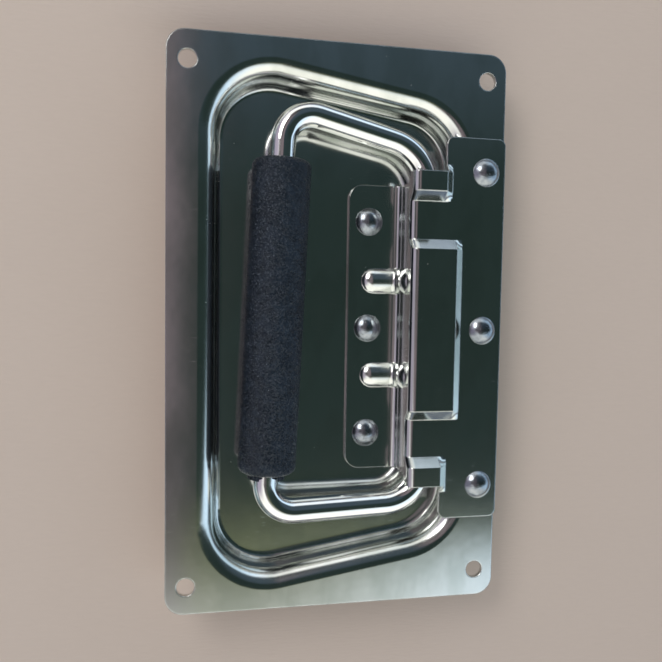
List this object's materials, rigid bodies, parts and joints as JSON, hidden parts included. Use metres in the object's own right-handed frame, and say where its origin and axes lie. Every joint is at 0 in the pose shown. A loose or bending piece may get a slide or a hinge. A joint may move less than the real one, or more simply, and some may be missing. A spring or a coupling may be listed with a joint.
{
  "type": "recessed pull handle",
  "caption": "Recessed spring-return pull handle: pressed steel dish with flange, riveted hinge cover, bent-rod bail and moulded grip.",
  "frame": {"origin": "centre of the four-screw pattern on the flange's underside, where it meets the panel", "axes": "+X across the flange from the grip towards the hinge, +Y along the hinge and the long side, +Z out of the panel"},
  "size_m": [0.0936, 0.155, 0.0188],
  "materials": {
    "plated_sheet": "bright plated steel sheet",
    "plated_rod": "bright plated steel rod",
    "grip_plastic": "black, fine texture",
    "rivet_steel": "satin steel",
    "spring_wire": "drawn spring wire"
  },
  "bodies": {
    "dish": {"dish_plate": "plated_sheet", "hinge_cover": "plated_sheet", "return_spring_1": "spring_wire", "return_spring_2": "spring_wire", "rod_support_1": "grip_plastic", "rod_support_2": "grip_plastic", "wing_rivet_1": "rivet_steel", "wing_rivet_2": "rivet_steel", "wing_rivet_3": "rivet_steel", "foot_rivet_1": "rivet_steel", "foot_rivet_2": "rivet_steel", "foot_rivet_3": "rivet_steel"},
    "handle": {"bail": "plated_rod", "grip": "grip_plastic"}
  },
  "joints": [
    {"name": "bail_hinge", "type": "hinge", "parent": "dish", "child": "handle", "pos_m": [0.02575, 0, -0.0025], "axis": [0, 1, 0], "range_deg": [0, 90], "stiffness_Nm_per_rad": 0.15, "springref_deg": -28.65, "deforming": ["return_spring_1", "return_spring_2"]}
  ]
}
